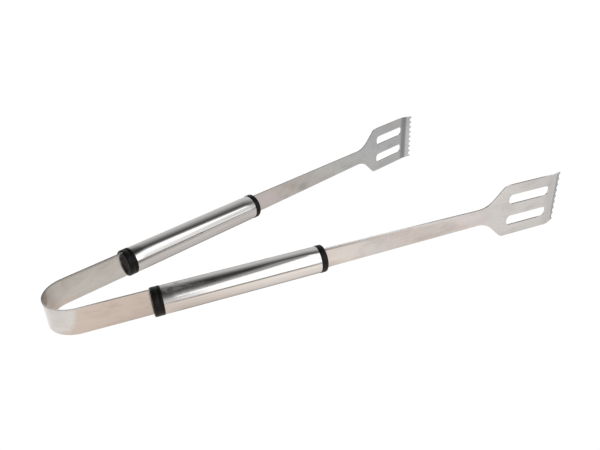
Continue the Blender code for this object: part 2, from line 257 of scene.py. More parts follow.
def satin_steel(name, stops, shade=0.0, spots=()):
    """Satin sheet: brush lines, bands and cloudy stains, with a tone along it.

    shade darkens the inside of the bow's crown. A spot is (s, z, half length, half height, strength).
    """
    shader = Shader(name, Metallic=1.0)
    where = shader.place()
    split = shader.add("ShaderNodeSeparateXYZ", {0: where})
    along = split.outputs[0]
    hairs = shader.noise(where, (0.03, 0.3, 2.0), detail=4)
    bands = shader.noise(where, (0.010, 0.1, 0.30), detail=2)
    cloud = shader.noise(where, (0.055, 0.1, 0.10), detail=5, roughness=0.6, distortion=0.5)
    colour = shader.blend(shader.spread(cloud, 0.50, 0.70, 0.0, 0.85), STEEL, STAIN)
    for at, high, length, tall, strength in spots:
        offset = shader.vector("SUBTRACT", where, (at, 0, high)).outputs[0]
        offset = shader.vector("MULTIPLY", offset, (1 / length, 0, 1 / tall)).outputs[0]
        away = shader.vector("LENGTH", offset).outputs[1]
        patchy = shader.spread(cloud, 0.35, 0.60, 0.4, 1.2)
        spot = shader.sums(shader.spread(away, 0.2, 1.0, strength, 0.0), patchy, "MULTIPLY")
        colour = shader.blend(spot, colour, SPOT)
    colour = shader.blend(1.0, colour, shader.tone_along(along, stops), "MULTIPLY")
    inside = shader.spread(split.outputs[1], -0.45, -0.35, shade, 0.0)
    near_crown = shader.spread(shader.sums(along, 0.0, "ABSOLUTE"), 14.0, 26.0, 1.0, 0.0)
    colour = shader.blend(shader.sums(inside, near_crown, "MULTIPLY"), colour, INNER_SHADE)
    lines = shader.blend(shader.spread(hairs, 0.3, 0.7), DIM, BRIGHT)
    colour = shader.blend(1.0, colour, lines, "MULTIPLY")
    broad = shader.blend(shader.spread(bands, 0.35, 0.65), DIM, BRIGHT)
    colour = shader.blend(0.5, colour, broad, "MULTIPLY")
    fine = shader.spread(hairs, 0.3, 0.7, -0.03, 0.03)
    coarse = shader.spread(cloud, 0.3, 0.7, SATIN_ROUGHNESS - 0.03, SATIN_ROUGHNESS + 0.06)
    roughness = shader.sums(fine, coarse)
    sway = shader.noise(where, (0.022, 0.1, 0.05), detail=1)
    normal = shader.bump(sway, 0.5, 0.20 * MM)
    normal = shader.bump(hairs, 0.3, 0.02 * MM, normal)
    return shader.finish(colour, roughness, normal)


def cut_edge(name, stops, dull=0.0, bare_from=None):
    """The sheared edge of the sheet, with a tone along it that paints highlights and shade on the edge.

    dull adds roughness up to s = 210 mm. Over the run of s in bare_from, the edge turns from dull grey to
    bare metal;
    where the dull part has a high tone, it shows as a painted highlight.
    """
    shader = Shader(name, Metallic=1.0)
    where = shader.place()
    along = shader.add("ShaderNodeSeparateXYZ", {0: where}).outputs[0]
    grain = shader.noise(where, (0.25, 2.0, 0.25), detail=3)
    colour = shader.blend(shader.spread(grain, 0.3, 0.7), rgb(0.88, 0.86, 0.84), rgb(1.08, 1.06, 1.04))
    colour = shader.blend(1.0, colour, shader.tone_along(along, stops), "MULTIPLY")
    extra = shader.spread(along, 210.0, 270.0, dull, 0.0)
    roughness = shader.sums(shader.spread(grain, 0.3, 0.7, 0.35, 0.5), extra)
    if bare_from is not None:
        shader.feed(shader.surface.inputs["Metallic"], shader.spread(along, *bare_from))
    return shader.finish(colour, roughness, shader.bump(grain, 0.15, 0.02 * MM))


def polished_tube(name, haze):
    """Polished tube: fine drawn lines, smears, and a hazy patch at its rear end."""
    shader = Shader(name, Metallic=1.0)
    where = shader.place()
    split = shader.add("ShaderNodeSeparateXYZ", {0: where})
    along, high = split.outputs[0], split.outputs[2]
    streaks = shader.noise(where, (0.012, 0.9, 0.9), detail=4)
    smears = shader.noise(where, (0.05, 0.15, 0.15), detail=4, distortion=0.6)
    patch = shader.noise(where, (0.11, 0.22, 0.22), detail=5, roughness=0.65, distortion=0.5)
    colour = shader.blend(shader.spread(streaks, 0.3, 0.7), rgb(0.52, 0.505, 0.495), rgb(0.60, 0.59, 0.58))
    fine = shader.spread(streaks, 0.3, 0.7, 0.0, 0.03)
    roughness = shader.sums(fine, shader.spread(smears, 0.4, 0.7, 0.05, 0.10))
    rear = shader.spread(along, 52.0, 125.0, haze, 0.0)
    worn = shader.sums(rear, shader.spread(patch, 0.3, 0.7, 0.35, 1.1), "MULTIPLY")
    roughness = shader.sums(roughness, worn)
    rear = shader.spread(along, 54.0, 94.0, 2.2 * haze, 0.0)
    crust = shader.sums(shader.spread(high, 8.3, 9.1), rear, "MULTIPLY")
    crust = shader.sums(crust, shader.spread(patch, 0.42, 0.58), "MULTIPLY")
    roughness = shader.sums(roughness, crust)
    sway = shader.noise(where, (0.03, 0.06, 0.06), detail=2)
    normal = shader.bump(sway, 0.5, 0.12 * MM)
    normal = shader.bump(streaks, 0.2, 0.01 * MM, normal)
    return shader.finish(colour, roughness, normal)


def black_plastic(name):
    """Moulded plastic with a fine grain and a few scuffs."""
    shader = Shader(name, Specular_IOR_Level=0.13)
    where = shader.place()
    grain = shader.noise(where, (3.0, 3.0, 3.0), detail=3)
    scuffs = shader.noise(where, (0.35, 0.35, 0.9), detail=4, distortion=0.5)
    black = rgb(0.0055, 0.0055, 0.0053)
    grey = rgb(0.013, 0.0125, 0.012)
    colour = shader.blend(shader.spread(scuffs, 0.55, 0.8), black, grey)
    roughness = shader.spread(scuffs, 0.3, 0.7, 0.30, 0.42)
    roughness = shader.sums(roughness, shader.spread(grain, 0.3, 0.7, 0.0, 0.06))
    return shader.finish(colour, roughness, shader.bump(grain, 0.25, 0.03 * MM))


def ground_steel(name):
    """Steel with a fine grain, for the rivet heads."""
    shader = Shader(name, Metallic=1.0)
    where = shader.add("ShaderNodeTexCoord").outputs["Object"]
    grain = shader.noise(where, (900.0, 900.0, 900.0), detail=3)
    colour = shader.blend(shader.spread(grain, 0.3, 0.7), rgb(0.42, 0.40, 0.38), rgb(0.55, 0.53, 0.50))
    return shader.finish(colour, shader.spread(grain, 0.3, 0.7, 0.25, 0.4))


# --- mesh building ----------------------------------------------------------------------------
def link_mesh(name, mesh):
    """An object in the scene with this mesh."""
    made = bpy.data.objects.new(name, mesh)
    bpy.context.scene.collection.objects.link(made)
    return made


def welded(mesh):
    """Merge a mesh's doubled corners, and turn its faces outwards."""
    shape = bmesh.new()
    shape.from_mesh(mesh)
    bmesh.ops.remove_doubles(shape, verts=shape.verts, dist=1e-6)
    bmesh.ops.dissolve_degenerate(shape, edges=shape.edges, dist=1e-7)
    bmesh.ops.recalc_face_normals(shape, faces=shape.faces)
    shape.to_mesh(mesh)
    shape.free()
    return mesh


def settled(piece):
    """Apply a piece's modifiers."""
    graph = bpy.context.evaluated_depsgraph_get()
    graph.update()
    mesh = bpy.data.meshes.new_from_object(piece.evaluated_get(graph))
    piece.modifiers.clear()
    piece.data = mesh


def rounded_sheet(name, outlines, thickness, middle, edge):
    """A flat plate in the s-z plane with rounded edges, from closed outlines; the inner ones are holes."""
    curve = bpy.data.curves.new(name, "CURVE")
    curve.dimensions = "2D"
    curve.fill_mode = "BOTH"
    curve.extrude = thickness / 2 - edge
    curve.bevel_depth = edge
    curve.bevel_resolution = 2
    curve.offset = -edge
    for outline in outlines:
        spline = curve.splines.new("POLY")
        spline.points.add(len(outline) - 1)
        for point, (s, z) in zip(spline.points, outline):
            point.co = (s, z, 0, 1)
        spline.use_cyclic_u = True
    drawn = bpy.data.objects.new(name, curve)
    bpy.context.scene.collection.objects.link(drawn)
    graph = bpy.context.evaluated_depsgraph_get()
    mesh = bpy.data.meshes.new_from_object(drawn.evaluated_get(graph))
    bpy.data.objects.remove(drawn, do_unlink=True)
    bpy.data.curves.remove(curve)
    mesh.transform(Matrix.Translation((0, middle, 0)) @ Matrix.Rotation(math.pi / 2, 4, "X"))
    return link_mesh(name, welded(mesh))


def turned(name, profile, steps):
    """A solid of revolution about the s axis, from (s, radius) points."""
    shape = bmesh.new()
    corners = [shape.verts.new((s, 0, radius)) for s, radius in profile]
    for first, second in zip(corners, corners[1:]):
        shape.edges.new((first, second))
    mesh = bpy.data.meshes.new(name)
    shape.to_mesh(mesh)
    shape.free()
    made = link_mesh(name, mesh)
    screw = made.modifiers.new("turn", "SCREW")
    screw.axis = "X"
    screw.steps = steps
    screw.render_steps = steps
    screw.use_merge_vertices = True
    screw.merge_threshold = 1e-5
    settled(made)
    welded(made.data)
    return made


def box(name, low, high):
    """A plain block, used only to cut with."""
    shape = bmesh.new()
    bmesh.ops.create_cube(shape, size=1)
    bmesh.ops.scale(shape, vec=Vector(high) - Vector(low), verts=shape.verts)
    bmesh.ops.translate(shape, vec=(Vector(high) + Vector(low)) / 2, verts=shape.verts)
    mesh = bpy.data.meshes.new(name)
    shape.to_mesh(mesh)
    shape.free()
    return link_mesh(name, mesh)


def cut(piece, cutters):
    """Take the cutters' shapes out of a piece, and throw the cutters away."""
    for cutter in cutters:
        boolean = piece.modifiers.new("cut", "BOOLEAN")
        boolean.operation = "DIFFERENCE"
        boolean.solver = "EXACT"
        boolean.object = cutter
    settled(piece)
    for cutter in cutters:
        bpy.data.objects.remove(cutter, do_unlink=True)
    welded(piece.data)


def arc(centre, radius, start, end, steps):
    """Points on an arc, angles in degrees, both ends included."""
    turns = [math.radians(start + (end - start) * i / steps) for i in range(steps + 1)]
    return [(centre[0] + radius * math.cos(t), centre[1] + radius * math.sin(t)) for t in turns]


def slice_across(piece, stations):
    """Cut edge lines across a flat sheet at these stations, so that it can bend there."""
    shape = bmesh.new()
    shape.from_mesh(piece.data)
    for station in stations:
        everything = shape.verts[:] + shape.edges[:] + shape.faces[:]
        bmesh.ops.bisect_plane(
            shape, geom=everything, dist=1e-7, plane_co=(station, 0, 0), plane_no=(1, 0, 0))
    shape.to_mesh(piece.data)
    shape.free()


def remember_place(piece, places=None):
    """Store where each corner is in the flat piece, in millimetres, for the materials to follow."""
    mesh = piece.data
    if places is None:
        places = [vertex.co for vertex in mesh.vertices]
    attribute = mesh.attributes.new("place", "FLOAT_VECTOR", "POINT")
    attribute.data.foreach_set("vector", [component / MM for place in places for component in place])


def dress(piece, materials, is_edge=None, angle=SHARP_ANGLE):
    """Give a piece its materials, the second one on its edge faces, and its smooth and sharp edges."""
    mesh = piece.data
    mesh.materials.clear()
    for material in materials:
        mesh.materials.append(material)
    for face in mesh.polygons:
        face.material_index = int(is_edge is not None and is_edge(face.normal))
    mesh.shade_smooth()
    mesh.set_sharp_from_angle(angle=math.radians(angle))


def weigh_normals(piece):
    """Let a piece's large faces decide its shading at their edges."""
    weigh = piece.modifiers.new("weigh", "WEIGHTED_NORMAL")
    weigh.keep_sharp = True
    weigh.weight = 100
    settled(piece)


def into_frame(piece, matrix):
    """Move a piece's mesh, and leave its object at the origin."""
    piece.data.transform(matrix)
    return piece


# --- the bow, as two halves that meet at the crown --------------------------------------------
def bow_point(run, n, side):
    """A point of the flat bow blank, run along it from the crown, on the bent bow."""
    if run <= HALF_ARC:
        turn = run / BOW_RADIUS
        radius = BOW_RADIUS + n
        return Vector((-radius * math.cos(turn), side * radius * math.sin(turn), 0))
    along, outward = arm_axes(side)
    return (BOW_RADIUS + n) * outward + (run - HALF_ARC) * along


def strip_section(half_width, edge, corner_steps=4, face_steps=10):
    """(z, n) points once round the strip's section, with rounded corners."""
    points = []
    inner_z = half_width - edge
    inner_n = HALF_THICK - edge
    for start, sign_z, sign_n in ((0, 1, 1), (90, -1, 1), (180, -1, -1), (270, 1, -1)):
        points += arc((sign_z * inner_z, sign_n * inner_n), edge, start, start + 90, corner_steps)
        if start in (0, 180):
            for i in range(1, face_steps):
                fraction = 1 - 2 * i / face_steps
                points.append((sign_z * inner_z * fraction, sign_n * HALF_THICK))
    return points


def make_bow_half(word, side, materials):
    """Half of the bow strip, from the crown's middle to the end of its tang."""
    shoulder = HALF_ARC + BOW_SHOULDER
    end = HALF_ARC + BOW_TANG_END
    straight = BOW_SHOULDER - EDGE_ROUND
    stations = [(HALF_ARC * i / CROWN_STEPS, BOW_HALF) for i in range(CROWN_STEPS)]
    stations += [(HALF_ARC + straight * i / LEG_STEPS, BOW_HALF) for i in range(LEG_STEPS + 1)]
    stations += [(shoulder - EDGE_ROUND + x, BOW_HALF - EDGE_ROUND + z)
                 for z, x in arc((0, 0), EDGE_ROUND, 0, 90, 3)[1:]]
    stations += [(shoulder + 0.01 * MM, TANG_HALF)]
    stations += [(shoulder + (end - TANG_CORNER - shoulder) * i / 6, TANG_HALF) for i in range(1, 7)]
    stations += [(end - TANG_CORNER + x, TANG_HALF - TANG_CORNER + z)
                 for z, x in arc((0, 0), TANG_CORNER, 0, 90, 6)[1:]]
    shape = bmesh.new()
    rings = []
    places = []
    for run, half in stations:
        ring = []
        for z, n in strip_section(half, EDGE_ROUND):
            ring.append(shape.verts.new(bow_point(run, n, side) + Vector((0, 0, z))))
            places.append((side * run, n, z))
        rings.append(ring)
    for first, second in zip(rings, rings[1:]):
        for i in range(len(first)):
            j = (i + 1) % len(first)
            shape.faces.new((first[i], first[j], second[j], second[i]))
    shape.faces.new(rings[0])
    shape.faces.new(rings[-1])
    bmesh.ops.recalc_face_normals(shape, faces=shape.faces)
    mesh = bpy.data.meshes.new(f"bow_spring_{word}")
    shape.to_mesh(mesh)
    shape.free()
    piece = link_mesh(f"bow_spring_{word}", mesh)
    remember_place(piece, places)
    dress(piece, materials, lambda normal: abs(normal.z) > BOW_EDGE_LIMIT)
    return into_frame(piece, Matrix.Translation(BOW_CENTRE))


# --- the blade --------------------------------------------------------------------------------
def bent_lip(s, n):
    """Where a point of the flat blade goes once the lip is bent inwards."""
    run = s - HEAD_BEND
    if run <= 0:
        return s, n
    turn = min(run / BEND_MIDDLE, LIP_ANGLE)
    straight = run - turn * BEND_MIDDLE
    radius = BEND_MIDDLE + n - TANG_OFFSET
    new_s = HEAD_BEND + radius * math.sin(turn) + straight * math.cos(turn)
    new_n = TANG_OFFSET - BEND_MIDDLE + radius * math.cos(turn) - straight * math.sin(turn)
    return new_s, new_n


def toothed_edge():
    """The lip's end, from its corner at +z to the one at -z: teeth between round notches."""
    half = HEAD_HALF - LIP_TAPER
    points = arc((LIP_TIP - LIP_CORNER, half - LIP_CORNER), LIP_CORNER, 90, 0, 5)
    for number in range(TEETH - 1):
        middle = ((TEETH - 2) / 2 - number) * TOOTH_PITCH
        for turn in range(0, 181, 12):
            across = math.cos(math.radians(turn)) * NOTCH_WIDTH / 2
            depth = math.sin(math.radians(turn)) ** 0.85 * TOOTH_DEPTH
            points.append((LIP_TIP - depth, middle + across))
    return points + [(s, -z) for s, z in reversed(points[:6])]


def blade_outline():
    """The flat blade: tang, tapering shaft, flared neck, head and toothed edge."""
    end_half = TANG_HALF - TANG_TAPER
    diagonal = math.sqrt(0.5)
    flank_start = NECK_STATION + NECK_FILLET * diagonal
    flank_rise = HEAD_HALF - NECK_HALF - (NECK_FILLET + SHOULDER_ROUND) * (1 - diagonal)
    shoulder = flank_start + flank_rise + SHOULDER_ROUND * diagonal
    side = arc((BLADE_TANG_START + TANG_CORNER, end_half - TANG_CORNER), TANG_CORNER, 180, 90, 6)
    side += [(TANG_WIDENS, TANG_HALF), (BLADE_WIDEST, BLADE_HALF)]
    side += arc((NECK_STATION, NECK_HALF + NECK_FILLET), NECK_FILLET, -90, -45, 24)
    side += arc((shoulder, HEAD_HALF - SHOULDER_ROUND), SHOULDER_ROUND, 135, 90, 12)
    side += [(HEAD_BEND, HEAD_HALF)]
    return side + toothed_edge() + [(s, -z) for s, z in reversed(side)]


def slot_outline(middle):
    """A head slot with rounded corners, its middle line at z = middle."""
    right = SLOT_START + SLOT_LENGTH - SLOT_CORNER
    left = SLOT_START + SLOT_CORNER
    reach = SLOT_WIDTH / 2 - SLOT_CORNER
    outline = arc((right, middle + reach), SLOT_CORNER, 0, 90, 10)
    outline += arc((left, middle + reach), SLOT_CORNER, 90, 180, 10)
    outline += arc((left, middle - reach), SLOT_CORNER, 180, 270, 10)
    outline += arc((right, middle - reach), SLOT_CORNER, 270, 360, 10)
    return outline


def make_blade(word, side, materials, edge_limit):
    """The stamped blade, its edges rounded, then the lip bent in."""
    outlines = [blade_outline()]
    outlines += [slot_outline(middle) for middle in (-SLOT_OFFSET, SLOT_OFFSET)]
    outlines += [arc((station, 0), RIVET_HOLE, 0, 360, 24)[:-1] for station in RIVET_STATIONS]
    piece = rounded_sheet(f"{word}_blade_sheet", outlines, STRIP_THICK, TANG_OFFSET, EDGE_ROUND)
    length = BEND_MIDDLE * LIP_ANGLE
    slice_across(piece, [HEAD_BEND + length * i / LIP_BENDS for i in range(LIP_BENDS + 1)])
    remember_place(piece)
    dress(piece, materials, lambda normal: abs(normal.y) < edge_limit)
    for vertex in piece.data.vertices:
        vertex.co.x, vertex.co.y = bent_lip(vertex.co.x, vertex.co.y)
    weigh_normals(piece)
    return into_frame(piece, arm_matrix(side))


# --- the handle -------------------------------------------------------------------------------
def make_tube(word, side, material):
    """The thin tube, its cut ends slightly rounded."""
    edge = 0.25 * MM
    profile = arc((TUBE_START + edge, TUBE_OUTER - edge), edge, 180, 90, 4)
    profile += [(TUBE_START + (TUBE_END - TUBE_START) * i / 12, TUBE_OUTER) for i in range(1, 12)]
    profile += arc((TUBE_END - edge, TUBE_OUTER - edge), edge, 90, 0, 4)
    profile += arc((TUBE_END - edge, TUBE_INNER + edge), edge, 0, -90, 4)
    profile += arc((TUBE_START + edge, TUBE_INNER + edge), edge, -90, -180, 4)
    profile += [profile[0]]
    piece = turned(f"{word}_tube", profile, TUBE_STEPS)
    remember_place(piece)
    dress(piece, [material], angle=50)
    return into_frame(piece, arm_matrix(side))


def strip_room(name, middle, width, start, end):
    """A block that leaves a strip room to pass through a plug."""
    half = HALF_THICK + GAP / 2
    return box(name, (start, middle - half, -width / 2), (end, middle + half, width / 2))


def make_rear_cap(word, side, material):
    """The plug at the bow end: a domed flange with a rounded rim, and a prong in the tube."""
    back = TUBE_START - GAP / 2
    rim = 1.1 * MM
    crest = REAR_CROWN + 0.4 * MM
    hollow = ((1.0, 0), (1.0, 1.5), (1.0, 3.0), (0.99, 4.5), (0.96, 5.6), (0.86, 6.3), (0.66, 6.9),
              (0.40, 7.4), (0.17, 7.9), (0.04, 8.4), (0.0, 8.8))
    profile = [(crest + deep * MM, radius * MM) for deep, radius in hollow]
    profile += arc((crest + rim, CAP_RADIUS - rim), rim, 180, 90, 10)
    groove = 50.4 * MM
    slope = 0.35 * MM
    profile += [(groove - slope, CAP_RADIUS), (groove, CAP_RADIUS - 0.2 * MM), (groove + slope, CAP_RADIUS)]
    profile += arc((back - 0.25 * MM, CAP_RADIUS - 0.25 * MM), 0.25 * MM, 90, 0, 3)
    profile += [(back, PRONG_RADIUS), (back + PRONG_LENGTH, PRONG_RADIUS - 0.3 * MM)]
    profile += [(back + PRONG_LENGTH, 0)]
    piece = turned(f"{word}_rear_plug", profile, CAP_STEPS)
    outside = REAR_CROWN - 2 * MM
    beyond = back + PRONG_LENGTH + MM
    tang_room = strip_room("tang_room", -TANG_OFFSET, 2 * (TANG_HALF + GAP), outside, beyond)
    leg_room = strip_room("leg_room", -TANG_OFFSET, 2 * BOW_HALF + 4 * MM, outside, BOW_SHOULDER + GAP)
    cut(piece, [tang_room, leg_room])
    remember_place(piece)
    dress(piece, [material], angle=40)
    return into_frame(piece, arm_matrix(side))


def make_front_cap(word, side, material):
    """The plug at the blade end: a rounded flange and two half-round prongs."""
    back = TUBE_END + GAP / 2
    rim = 1.6 * MM
    face = CAP_RADIUS - rim
    profile = [(back - PRONG_LENGTH, 0), (back - PRONG_LENGTH, PRONG_RADIUS - 0.3 * MM)]
    profile += [(back, PRONG_RADIUS)]
    profile += arc((back + 0.25 * MM, CAP_RADIUS - 0.25 * MM), 0.25 * MM, 180, 90, 3)
    profile += arc((FRONT_FACE - rim, face), rim, 90, 0, 10)
    profile += [(FRONT_FACE, face * i / 6) for i in range(5, -1, -1)]
    piece = turned(f"{word}_front_plug", profile, CAP_STEPS)
    inside = back - PRONG_LENGTH - MM
    cut(piece, [strip_room("blade_room", TANG_OFFSET, 2 * (BLADE_HALF + GAP), inside, FRONT_FACE + MM)])
    remember_place(piece)
    dress(piece, [material], angle=40)
    return into_frame(piece, arm_matrix(side))


# --- materials --------------------------------------------------------------------------------
bow_steel = satin_steel("bow_steel", ((-85.0, 1.0), (85.0, 1.0)), shade=0.75)
# The blades' tone stops paint shade: on the near blade, a little over the lip's bend and the lip.
near_steel = satin_steel("near_blade_steel", (
    (61.0, 1.0), (372.0, 1.0), (379.0, 0.90), (384.0, 0.88), (392.0, 0.90)),
    spots=((279.0, -2.0, 10.0, 6.5, 0.30), (252.0, -5.0, 7.0, 4.0, 0.15)))
# On the far blade, a dark band of painted shade in the lip's bend, and painted light, brighter than the
# steel, on the lip past it.
far_steel = satin_steel("far_blade_steel", (
    (61.0, 1.0), (376.0, 1.0), (379.0, 0.60), (383.8, 0.57), (385.5, 1.22), (392.0, 1.28)),
    spots=((231.0, -3.5, 9.0, 6.0, 0.55), (210.0, -6.0, 5.0, 3.5, 0.45), (219.0, 1.0, 7.0, 4.0, 0.18),
           (356.0, -20.0, 24.0, 9.0, 0.18)))
# The cut edges' tone stops paint light: they are raised into painted highlights where an edge catches the
# light, on the bow's crown, the heads' flared necks and lips and the near blade's edge by its front cap, and
# lowered into painted shade elsewhere.
far_edge_steel = cut_edge("far_edge_steel", (
    (170.0, 0.27), (316.0, 0.27), (321.0, 0.9), (334.0, 0.9), (338.0, 0.25), (370.0, 0.25),
    (375.0, 0.6), (400.0, 0.6)))
bow_edge_steel = cut_edge("bow_edge_steel", (
    (-85.0, 0.36), (-45.0, 0.42), (-32.0, 0.85), (-20.0, 1.1), (-8.0, 0.85), (6.0, 0.36), (85.0, 0.30)),
    dull=0.15)
near_edge_steel = cut_edge("near_edge_steel", (
    (170.0, 1.0), (230.0, 0.95), (275.0, 0.38), (316.0, 0.30), (321.0, 1.1), (334.0, 1.1),
    (339.0, 0.24), (369.0, 0.22), (374.0, 0.8), (400.0, 0.9)), dull=0.6, bare_from=(230.0, 275.0))
blade_finishes = {"near": (near_steel, near_edge_steel, NEAR_EDGE_LIMIT),
                  "far": (far_steel, far_edge_steel, FAR_EDGE_LIMIT)}
tube_steels = {"near": polished_tube("near_tube_steel", 0.18), "far": polished_tube("far_tube_steel", 0.03)}
cap_plastic = black_plastic("black_cap_plastic")
rivet_steel = ground_steel("rivet_steel")

# --- pieces -----------------------------------------------------------------------------------
for word, side in SIDES.items():
    body = f"{word}_arm"
    half = make_bow_half(word, side, [bow_steel, bow_edge_steel])
    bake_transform(half)
    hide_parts("bow_spring")
    face_steel, edge_steel, edge_limit = blade_finishes[word]
    blade = make_blade(word, side, [face_steel, edge_steel], edge_limit)
    tube = make_tube(word, side, tube_steels[word])
    rear = make_rear_cap(word, side, cap_plastic)
    front = make_front_cap(word, side, cap_plastic)
    riders = ((blade, "blade", "blade_steel"), (tube, "handle_tube", "tube_steel"),
              (rear, "rear_cap", "cap_plastic"), (front, "front_cap", "cap_plastic"))
    for piece, node, slot in riders:
        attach(piece, body)
        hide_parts(f"{word}_{node}")

for name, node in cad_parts.items():
    if name.endswith("_rivet"):
        node.data.materials.clear()
        node.data.materials.append(rivet_steel)

# --- the floor --------------------------------------------------------------------------------
# Its tones paint light and shade onto the floor as (x, colour or grey) stops in metres, and they show only in
# reflections.
OUTER_TONES = (
    (-0.30, rgb(0.75, 0.75, 0.76)), (-0.24, rgb(0.90, 0.89, 0.90)), (-0.210, rgb(1.28, 1.22, 1.18)),
    (-0.190, rgb(1.22, 1.08, 0.99)), (-0.150, rgb(1.18, 1.04, 0.95)), (-0.125, rgb(1.20, 1.07, 0.97)),
    (-0.090, rgb(1.30, 1.20, 1.11)), (-0.060, rgb(1.36, 1.28, 1.20)), (-0.020, rgb(1.38, 1.30, 1.22)),
    (0.005, rgb(1.34, 1.29, 1.25)), (0.034, rgb(1.18, 1.15, 1.16)), (0.062, rgb(1.16, 1.09, 1.05)),
    (0.091, rgb(1.09, 1.05, 1.01)), (0.121, rgb(1.27, 1.20, 1.21)), (0.148, rgb(1.15, 1.16, 1.16)),
    (0.190, rgb(1.11, 1.12, 1.13)), (0.240, rgb(1.04, 1.05, 1.06)))
INNER_TONES = (
    (-0.20, rgb(0.52, 0.49, 0.47)), (-0.182, rgb(0.80, 0.77, 0.74)), (-0.162, rgb(1.10, 1.07, 1.02)),
    (-0.145, rgb(0.98, 0.98, 0.97)), (-0.120, rgb(1.10, 1.05, 1.03)), (0.005, rgb(0.98, 0.93, 0.91)),
    (0.036, rgb(0.99, 0.93, 0.95)), (0.064, rgb(0.84, 0.84, 0.78)), (0.091, rgb(0.88, 0.87, 0.87)),
    (0.123, rgb(0.89, 0.93, 0.92)), (0.158, rgb(0.84, 0.88, 0.90)), (0.195, rgb(0.81, 0.87, 0.90)),
    (0.225, rgb(0.77, 0.81, 0.86)), (0.260, rgb(0.76, 0.80, 0.84)))
CROWN_TONES = ((-0.24, 1.18), (-0.205, 1.36), (-0.17, 1.42))
WARM = rgb(1.10, 1.08, 1.04)        # between the legs, on the near side
# How strong the painted contact shade under the tongs is along x, and at each distance from an arm's line.
CONTACT_ALONG = ((-0.24, 0.0), (-0.19, 0.0), (-0.15, 0.2), (-0.135, 0.2), (-0.120, 1.0), (-0.015, 0.9),
                 (0.0, 0.2), (0.2, 0.1))
CONTACT_ASIDE = ((0.0, 0.92), (0.004, 0.60), (0.008, 0.27), (0.015, 0.13), (0.036, 0.0))
LIT_SHARE = rgb(0.36, 0.36, 0.36)   # how much of a tone the lamps bring out
GLOW = 0.75                         # how much of it the floor gives off by itself
SEEN_WHITE = 1.02
FLOOR_SIZE = 4
FLOOR_DROP = 0.0001                 # keeps the floor just clear of the tongs
REST_X = 0.148                      # where the floor passes through the frame's z = 0


def floor_tone(shader, place, x, y, gap):
    """The floor's painted light and shade: one run of stops outside the arms, another between them."""
    before = shader.tone_along(x, OUTER_TONES)
    between = shader.tone_along(x, INNER_TONES)
    near_side = shader.spread(y, -0.022, -0.004)
    warm = shader.sums(near_side, shader.spread(x, -0.13, -0.11, 1.0, 0.0), "MULTIPLY")
    between = shader.blend(warm, between, WARM)
    between = shader.blend(1.0, between, shader.spread(y, -0.03, 0.005, 0.8, 1.0), "MULTIPLY")
    by_crown = shader.spread(x, -0.199, -0.193, 1.0, 0.0)
    by_crown = shader.sums(by_crown, shader.spread(gap, 0.026, 0.044, 1.0, 0.0), "MULTIPLY")
    before = shader.blend(by_crown, before, shader.tone_along(x, CROWN_TONES))
    outside = shader.spread(gap, -0.004, 0.0)
    outside = shader.sums(outside, shader.spread(x, -0.206, -0.196, 1.0, 0.0), "MAXIMUM")
    from_bow = shader.vector("DISTANCE", place, (BOW_CENTRE.x, 0, 0)).outputs[1]
    behind_bow = shader.spread(x, BOW_CENTRE.x, BOW_CENTRE.x + 0.008, 1.0, 0.0)
    ring = shader.sums(shader.spread(from_bow, BOW_RADIUS - 0.002, BOW_RADIUS), behind_bow, "MULTIPLY")
    return shader.blend(shader.sums(outside, ring, "MAXIMUM"), between, before)


def floor_shade(shader, x, gap):
    """How much of the tone is left by the painted contact shade, and by the fade far out to the sides."""
    contact = shader.tone_along(x, CONTACT_ALONG)
    closeness = shader.tone_along(shader.sums(gap, 0.0, "ABSOLUTE"), CONTACT_ASIDE)
    shade = shader.sums(1.0, shader.sums(contact, closeness, "MULTIPLY"), "SUBTRACT")
    lost = shader.sums(1.0, shader.spread(x, 0.02, 0.12, 0.28, 1.0), "SUBTRACT")
    distance = shader.sums(shader.spread(gap, 0.08, 0.17), shader.spread(x, -0.20, -0.16), "MULTIPLY")
    fade = shader.sums(1.0, shader.sums(distance, lost, "MULTIPLY"), "SUBTRACT")
    return shader.sums(shade, fade, "MULTIPLY")


def floor_material():
    """Pale floor, overexposed to plain white; in reflections it shows its tones of painted light and shade,
    and a soft painted contact shade.
    """
    shader = Shader("pale_floor", Roughness=0.9, Specular_IOR_Level=0.1)
    place = shader.add("ShaderNodeTexCoord").outputs["Object"]
    split = shader.add("ShaderNodeSeparateXYZ", {0: place})
    x, y = split.outputs[0], split.outputs[1]
    # gap is the distance outwards from the line of the nearer arm
    sideways = shader.sums(shader.sums(y, 0.0, "ABSOLUTE"), math.cos(HALF_ANGLE), "MULTIPLY")
    back = shader.sums(x, -math.sin(HALF_ANGLE), "MULTIPLY")
    start = math.sin(HALF_ANGLE) * BOW_CENTRE.x - TUBE_AXIS
    gap = shader.sums(shader.sums(sideways, back), start)
    tone = floor_tone(shader, place, x, y, gap)
    tone = shader.blend(1.0, tone, floor_shade(shader, x, gap), "MULTIPLY")
    grain = shader.noise(place, (4.0, 4.0, 4.0))
    tone = shader.blend(1.0, tone, shader.spread(grain, 0.3, 0.7, 0.985, 1.015), "MULTIPLY")
    shader.feed(shader.surface.inputs["Emission Color"], tone)
    shader.surface.inputs["Emission Strength"].default_value = GLOW
    material = shader.finish(shader.blend(1.0, tone, LIT_SHARE, "MULTIPLY"))
    white = shader.add("ShaderNodeEmission", {"Color": rgb(1, 1, 1), "Strength": SEEN_WHITE})
    seen = shader.add("ShaderNodeLightPath").outputs["Is Camera Ray"]
    mix = shader.add("ShaderNodeMixShader", {0: seen, 1: shader.surface.outputs[0], 2: white.outputs[0]})
    shader.feed(shader.tree.nodes["Material Output"].inputs["Surface"], mix.outputs[0])
    return material


